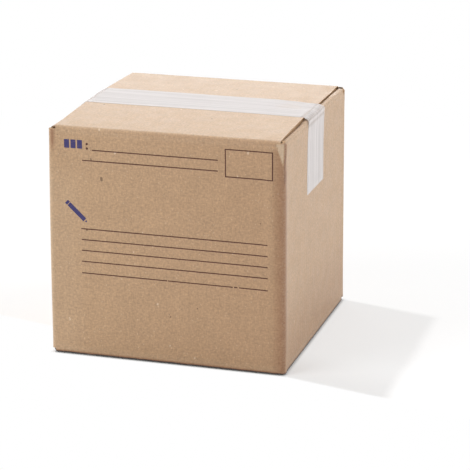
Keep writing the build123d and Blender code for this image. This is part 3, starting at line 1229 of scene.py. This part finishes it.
def curved_between(start, corner, end, steps):
    """Points of the curve that leaves start towards corner and comes from it to end.

    It is (1 - t)^2 start + 2 t (1 - t) corner + t^2 end, for t between 0 and 1.
    """
    t = np.linspace(0, 1, steps + 1)[None, 1:-1, None]
    start, corner, end = (point[:, None] for point in (start, corner, end))
    return (1 - t) ** 2 * start + 2 * t * (1 - t) * corner + t**2 * end


# The film at an end of the flaps: how far before the flaps' edge it leaves the roof, how far past
# it the slant begins, which share of the slant is straight, and how far below the panel's crown
# it lies on the panel again
FILM_LEAVES, FILM_PASSES, FILM_STRAIGHT, FILM_LANDS = 1.5 * MM, 0.3 * MM, (0.2, 0.62), 2.1 * MM
# Half the width at the seam over which the film goes from the front flap's end to the rear one's
FILM_SEAM = 3 * MM
# Stations over the roof and down a leg, steps of a bend, and rows across the tape
ROOF_STATIONS, LEG_STATIONS, BEND_STEPS, FILM_ROWS = 48, 26, 8, 34
# Stations along the bottom tape and rows across it
STRIP_STATIONS, STRIP_ROWS = 34, 12


def film_half(carton, tape, y, side):
    """The tape's inner face from the roof's middle over one end and down the panel.

    side is 1 at the right and -1 at the left. For each y the line runs along the roof to the
    flap's edge, slants to the panel's crown, turns over it and runs down to the tape's end.
    """
    top, drop, _, _ = levels_of(carton)
    rise = CROWNS["right rear" if side > 0 else "left"][0] * MM
    skewed = carton.slot_shift - carton.flap_skew * (1 - np.abs(y) / HALF_DEPTH)
    shift = side * skewed * (1 - 2 * ease(y, -FILM_SEAM, FILM_SEAM))
    edge = HALF_WIDTH - carton.slot_half + shift
    leaves = edge - FILM_LEAVES
    face = np.full_like(y, HALF_WIDTH + tape.gap)
    before = np.stack([leaves, roof(carton, side * leaves, y) + tape.gap], 1)
    turn = np.stack([edge + FILM_PASSES, roof(carton, side * edge, y) + tape.gap], 1)
    crown = np.stack([face, np.full_like(y, top - drop + rise + tape.gap)], 1)
    slant_start, slant_end = (turn + share * (crown - turn) for share in FILM_STRAIGHT)
    leg_start = crown - np.array([0, FILM_LANDS])
    leg_end = np.stack([face, np.full_like(y, tape_low.z)], 1)
    x = leaves[:, None] * np.linspace(0, 1, ROOF_STATIONS)
    run = np.stack([x, roof(carton, side * x, y[:, None]) + tape.gap], -1)
    down = np.linspace(0, 1, LEG_STATIONS)[None, :, None]
    leg = leg_start[:, None] * (1 - down) + leg_end[:, None] * down
    over = curved_between(before, turn, slant_start, BEND_STEPS)
    bend = curved_between(slant_end, crown, leg_start, BEND_STEPS)
    line = np.concatenate([run, over, slant_start[:, None], slant_end[:, None], bend, leg], axis=1)
    return joined(side * line[..., 0], y[:, None], line[..., 1])


# The film's bends, as distances from the top fold's level along the tape: the middle and the
# reach of the wear at each of the two bends
FILM_WEAR = [(0.6 * MM, 0.9 * MM), (5.0 * MM, 1.0 * MM)]
# How far the film puffs up at its bends, how far from them, and how wide a puff is for a radian
PUFF_HEIGHT, PUFF_REACH, PUFF_WIDTH = 0.1 * MM, 4 * MM, 1.9 * MM


def film_shell(carton, tape):
    """Closed shell of the top tape, with its bends marked as wear.

    Its thickness is laid on along the normal. At the bends it puffs up by a squared sine across.
    """
    y = np.linspace(tape_low.y, tape_high.y, FILM_ROWS)
    right = film_half(carton, tape, y, 1)
    left = film_half(carton, tape, y, -1)
    inner = np.concatenate([left[:, :0:-1], right], axis=1)
    inner = inner[:, ::-1].transpose(1, 0, 2)[::-1]
    normal = np.cross(np.gradient(inner, axis=0), np.gradient(inner, axis=1))
    normal /= np.linalg.norm(normal, axis=-1, keepdims=True)
    steps = np.linalg.norm(np.diff(inner, axis=0), axis=-1)
    distance = np.concatenate([np.zeros((1, len(y))), np.cumsum(steps, axis=0)])
    leg = levels_of(carton)[0] - tape_low.z
    near = np.minimum(np.abs(distance - leg), np.abs(distance[-1] - distance - leg))
    wear = sum(bell(near - middle, reach) for middle, reach in FILM_WEAR)
    puff = PUFF_HEIGHT * np.sin(inner[..., 1] / PUFF_WIDTH) ** 2 * bell(near, PUFF_REACH)
    inner = settle(carton, inner)
    layers = [inner + normal * (puff + lift)[..., None] for lift in (tape.thickness, 0)]
    flat = np.stack([distance, np.broadcast_to(y, distance.shape)], -1)
    return shell(layers, flat, wear, LINER)


def strip_shell():
    """Closed shell of the flat bottom tape."""
    x = np.linspace(strip_low.x, strip_high.x, STRIP_STATIONS)
    y = np.linspace(strip_high.y, strip_low.y, STRIP_ROWS)
    flat = np.stack(np.meshgrid(x, y, indexing="ij"), -1)
    layers = [joined(*np.moveaxis(flat, -1, 0), z) for z in (strip_low.z, strip_high.z)]
    return shell(layers, flat, np.zeros(flat.shape[:2]), LINER)


class BOX_OT_carton(bpy.types.Operator):
    """Make the folded blank: panels, glued joint, flaps and open flutes."""

    bl_idname = "box.carton"
    bl_label = "Carton"

    def execute(self, context):
        carton = context.scene.box_carton
        groups = groups_of()
        shells = walls(carton)
        for panel in range(4):
            for upper in (False, True):
                shells += flap(carton, panel, upper, panel % 2 == 0)
        materials = [liner_material(carton, groups), cut_material(carton, groups)]
        piece = make_piece("folded_carton", shells, materials)
        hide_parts("carton")
        return {"FINISHED"}


class BOX_OT_print(bpy.types.Operator):
    """Print the front panel: ruled lines, stamp frame, blocks, dots and pencil."""

    bl_idname = "box.print"
    bl_label = "Print"

    def execute(self, context):
        carton, ink = context.scene.box_carton, context.scene.box_print
        groups = groups_of()
        lines = ink_material("Line ink", ink.line_ink, carton, groups)
        figures = ink_material("Figure ink", ink.figure_ink, carton, groups)
        make_piece("printed_lines", ruled_shells(carton, ink), [lines])
        make_piece("printed_figures", figure_shells(carton, ink), [figures])
        return {"FINISHED"}


class BOX_OT_tape(bpy.types.Operator):
    """Lay the film tape over the top seam and under the bottom one."""

    bl_idname = "box.tape"
    bl_label = "Tape"

    def execute(self, context):
        carton, tape = context.scene.box_carton, context.scene.box_tape
        film = film_material(carton, tape)
        top = make_piece("top_film", [film_shell(carton, tape)], [film])
        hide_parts("top_tape")
        bottom = make_piece("bottom_film", [strip_shell()], [film])
        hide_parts("bottom_tape")
        return {"FINISHED"}


class BOX_OT_stage(bpy.types.Operator):
    """Set the floor, the light and the camera."""

    bl_idname = "box.stage"
    bl_label = "Stage"

    def execute(self, context):
        stage = context.scene.box_stage
        make_floor(stage)
        make_light(context.scene, stage)
        make_camera(context.scene, stage)
        return {"FINISHED"}


# The light that throws the shadow stands at the left and a little behind
SUN_PLACE = (-0.87, 0.232, 1.84)
SUN_ANGLE = math.radians(3.0)
# Level direction across that light, and how far along it the shadow's front edge lies
SHADE_SIDE = (0.258, 0.966, 0.0)
SHADE_START = SHADE_SIDE[0] * HALF_WIDTH - SHADE_SIDE[1] * HALF_DEPTH
# How the painted white over the shadow thins out: across the shadow's edge, from the edge into the
# shadow, where it starts from a share of the floor's painted light, so that the shadow is painted
# darker at its front edge, and with the distance from the box
SHADE_EDGE = (SHADE_START - 2 * MM, SHADE_START + 2 * MM)
SHADE_DEEPENS = (SHADE_START, SHADE_START + 60 * MM)
EDGE_PAINTED_LIGHT = 0.6
SHADE_ENDS = (0.36, 0.75)
# How far from the box's sides the white over the floor begins and where it is full
CLEAR_OF_BOX = (-1 * MM, 2 * MM)
# How far the floor lies below the box, so that the two don't flicker
FLOOR_DROP = 0.02 * MM
# The softboxes: name, place, width, height and brightness, where 1 is the brightness of white,
# and the height that they face
SOFTBOXES = [
    ("key_light", (-2.2, -2.0, 1.6), 2.0, 1.6, 5.0),
    ("fill_light", (2.4, 0.9, 1.3), 2.0, 1.6, 3.5),
    ("back_light", (-0.8, 2.6, 0.95), 2.6, 1.2, 2.1),
]
SOFTBOX_AIM = 0.1
# The camera's place, its turn left and down in degrees, and its sensor's width in millimetres
CAMERA_PLACE, CAMERA_LEFT, CAMERA_DOWN = (0.4857, -1.5440, 0.5766), 16.540, 17.173
SENSOR = 36.0


def make_floor(stage):
    """Plain pale floor. For the camera alone, white is laid over it as painted light, which hides the
    floor's shadows.

    Where the box's shadow falls it is laid on in part, thinner at the shadow's front edge, which
    paints the shadow darker there, and right beside the box not at all.
    """
    half = stage.floor_size / 2
    mesh = bpy.data.meshes.new("floor")
    signs = [(-1, -1), (1, -1), (1, 1), (-1, 1)]
    corners = [(x * half, y * half, -FLOOR_DROP) for x, y in signs]
    mesh.from_pydata(corners, [], [(0, 1, 2, 3)])
    floor = bpy.data.objects.new("floor", mesh)
    bpy.context.scene.collection.objects.link(floor)
    material = bpy.data.materials.new("Floor")
    material.use_nodes = True
    tree = material.node_tree
    shader = tree.nodes["Principled BSDF"]
    plain = {"Base Color": stage.floor_colour, "Roughness": 1.0, "Specular IOR Level": 0.0}
    fill(tree, shader, plain)
    seen = node(tree, "ShaderNodeLightPath").outputs["Is Camera Ray"]
    glow = node(tree, "ShaderNodeEmission", {"Strength": 1.0})
    where = node(tree, "ShaderNodeTexCoord").outputs["Object"]
    away = node(tree, "ShaderNodeVectorMath", {0: where}, operation="LENGTH").outputs["Value"]
    lit = node(tree, "ShaderNodeVectorMath", {0: where, 1: SHADE_SIDE}, operation="DOT_PRODUCT")
    lit = lit.outputs["Value"]
    near = spread_to(tree, away, SHADE_ENDS, (1.0, 0.0))
    shade = calc(tree, "MULTIPLY", spread_to(tree, lit, SHADE_EDGE), near)
    painted_light = stage.floor_painted_light
    # Thinner white at the shadow's front edge paints the shadow darker there
    thinned = spread_to(tree, lit, SHADE_DEEPENS, (EDGE_PAINTED_LIGHT * painted_light - 1, painted_light - 1))
    white = calc(tree, "MULTIPLY_ADD", shade, thinned, 1.0)
    size = node(tree, "ShaderNodeVectorMath", {0: where}, operation="ABSOLUTE").outputs[0]
    sides = node(tree, "ShaderNodeSeparateXYZ", {0: size}).outputs
    beside = calc(tree, "SUBTRACT", sides["X"], HALF_WIDTH)
    before = calc(tree, "SUBTRACT", sides["Y"], HALF_DEPTH)
    clear = spread_to(tree, calc(tree, "MAXIMUM", beside, before), CLEAR_OF_BOX)
    cover = calc(tree, "MULTIPLY", seen, calc(tree, "MULTIPLY", white, clear))
    both = node(tree, "ShaderNodeMixShader", {0: cover, 1: shader.outputs[0], 2: glow.outputs[0]})
    fill(tree, tree.nodes["Material Output"], {"Surface": both.outputs[0]})
    mesh.materials.append(material)


def add_lamp(scene, name, kind, stand, aim, energy):
    """A lamp that stands at one point and faces another."""
    data = bpy.data.lights.new(name, kind)
    data.energy = energy
    lamp = bpy.data.objects.new(name, data)
    lamp.location = stand
    lamp.rotation_euler = (Vector(aim) - Vector(stand)).to_track_quat("-Z", "Y").to_euler()
    scene.collection.objects.link(lamp)
    return data


def make_light(scene, stage):
    """Even room light, white where it is seen, a sun for the shadow and three softboxes."""
    sun = add_lamp(scene, "sun", "SUN", SUN_PLACE, (0, 0, 0), stage.sun_light)
    sun.angle = SUN_ANGLE
    for name, stand, width, height, brightness in SOFTBOXES:
        power = brightness * math.pi * width * height
        box = add_lamp(scene, name, "AREA", stand, (0, 0, SOFTBOX_AIM), power)
        box.shape = "RECTANGLE"
        box.size, box.size_y = width, height
    world = bpy.data.worlds.new("Room")
    world.use_nodes = True
    tree = world.node_tree
    path = node(tree, "ShaderNodeLightPath").outputs
    direct = calc(tree, "MAXIMUM", path["Is Camera Ray"], path["Is Glossy Ray"])
    direct = calc(tree, "MAXIMUM", direct, path["Is Transmission Ray"])
    strength = spread_to(tree, direct, (0.0, 1.0), (stage.room_light, 1.0))
    fill(tree, tree.nodes["Background"], {"Color": (1, 1, 1), "Strength": strength})
    scene.world = world
    scene.view_settings.view_transform = "Standard"


def make_camera(scene, stage):
    """Camera at the photograph's place."""
    data = bpy.data.cameras.new("camera")
    data.sensor_width = SENSOR
    data.lens = stage.lens
    camera = bpy.data.objects.new("camera", data)
    camera.location = CAMERA_PLACE
    camera.rotation_euler = (math.radians(90 - CAMERA_DOWN), 0, math.radians(CAMERA_LEFT))
    scene.collection.objects.link(camera)
    scene.camera = camera


class BOX_PT_panel(bpy.types.Panel):
    """Lists the box's operators and settings."""

    bl_idname = "BOX_PT_panel"
    bl_label = "Shipping box"
    bl_space_type = "VIEW_3D"
    bl_region_type = "UI"
    bl_category = "Shipping box"

    def draw(self, context):
        for operator, settings in STEPS:
            self.layout.operator(operator.bl_idname)
            values = getattr(context.scene, settings)
            for name in values.__annotations__:
                self.layout.prop(values, name)


STEPS = [
    (BOX_OT_carton, "box_carton"),
    (BOX_OT_print, "box_print"),
    (BOX_OT_tape, "box_tape"),
    (BOX_OT_stage, "box_stage"),
]
SETTINGS = {
    "box_carton": CartonSettings,
    "box_print": PrintSettings,
    "box_tape": TapeSettings,
    "box_stage": StageSettings,
}


def register():
    """Registers the settings, the operators and the panel."""
    for name, settings in SETTINGS.items():
        bpy.utils.register_class(settings)
        setattr(bpy.types.Scene, name, PointerProperty(type=settings))
    for operator, _ in STEPS:
        bpy.utils.register_class(operator)
    bpy.utils.register_class(BOX_PT_panel)


def unregister():
    """Takes back what register did."""
    bpy.utils.unregister_class(BOX_PT_panel)
    for operator, _ in reversed(STEPS):
        bpy.utils.unregister_class(operator)
    for name, settings in SETTINGS.items():
        delattr(bpy.types.Scene, name)
        bpy.utils.unregister_class(settings)


def main():
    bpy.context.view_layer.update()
    register()
    bpy.ops.box.carton()
    bpy.ops.box.print()
    bpy.ops.box.tape()
    bpy.ops.box.stage()


if __name__ == "__main__":
    main()
